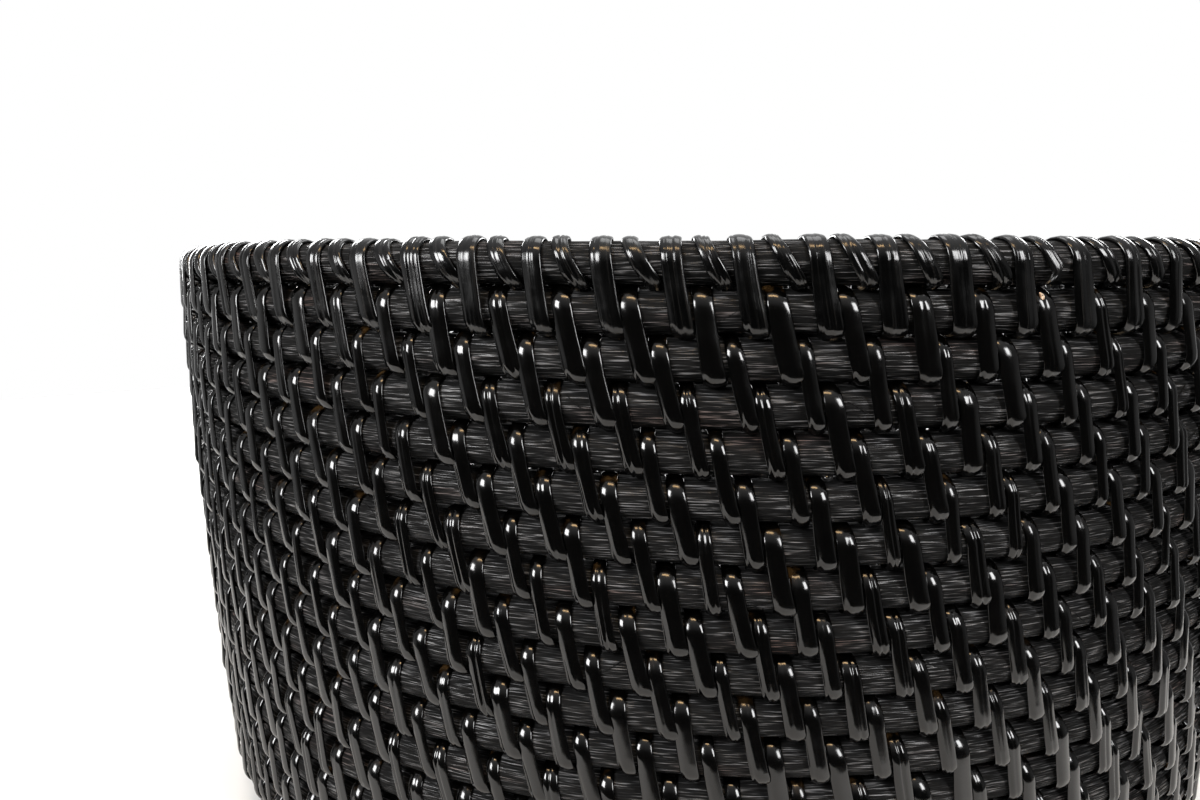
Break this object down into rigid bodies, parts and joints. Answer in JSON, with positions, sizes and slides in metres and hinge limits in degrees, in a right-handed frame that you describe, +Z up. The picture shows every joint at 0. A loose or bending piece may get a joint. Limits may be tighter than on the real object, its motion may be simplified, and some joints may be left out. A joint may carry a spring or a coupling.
{
  "type": "lashed coil basket",
  "caption": "Round open fruit basket of stacked rattan-core coils lashed together with flat peel, slightly tapering wall, wrapped rim and flat coiled base.",
  "frame": {"origin": "centre of the basket on the plane it stands on", "axes": "+Z up through the middle of the opening; +X and +Y are equivalent, apart from where the lashing starts"},
  "size_m": [0.2514, 0.2514, 0.1201],
  "materials": {
    "core": "stained rattan core, satin, fine lengthwise fibres",
    "peel": "black lacquered rattan peel, glossy",
    "rim_peel": "black rattan peel, fibrous satin"
  },
  "bodies": {
    "root": {"rim_coil": "core", "wall_coil_02": "core", "wall_coil_03": "core", "wall_coil_04": "core", "wall_coil_05": "core", "wall_coil_06": "core", "wall_coil_07": "core", "wall_coil_08": "core", "wall_coil_09": "core", "wall_coil_10": "core", "wall_coil_11": "core", "wall_coil_12": "core", "wall_coil_13": "core", "wall_coil_14": "core", "wall_coil_15": "core", "wall_coil_16": "core", "wall_coil_17": "core", "wall_coil_18": "core", "base_outer_coils": "core", "base_middle_coils": "core", "base_inner_coils": "core", "base_start": "core", "rim_long_wraps": "rim_peel", "rim_short_wraps": "rim_peel", "lashing_02": "peel", "lashing_03": "peel", "lashing_04": "peel", "lashing_05": "peel", "lashing_06": "peel", "lashing_07": "peel", "lashing_08": "peel", "lashing_09": "peel", "lashing_10": "peel", "lashing_11": "peel", "lashing_12": "peel", "lashing_13": "peel", "lashing_14": "peel", "lashing_15": "peel", "lashing_16": "peel", "lashing_17": "peel", "heel_lashing": "peel", "base_outer_lashing": "peel", "base_middle_lashing": "peel", "base_inner_lashing": "peel"}
  },
  "joints": []
}
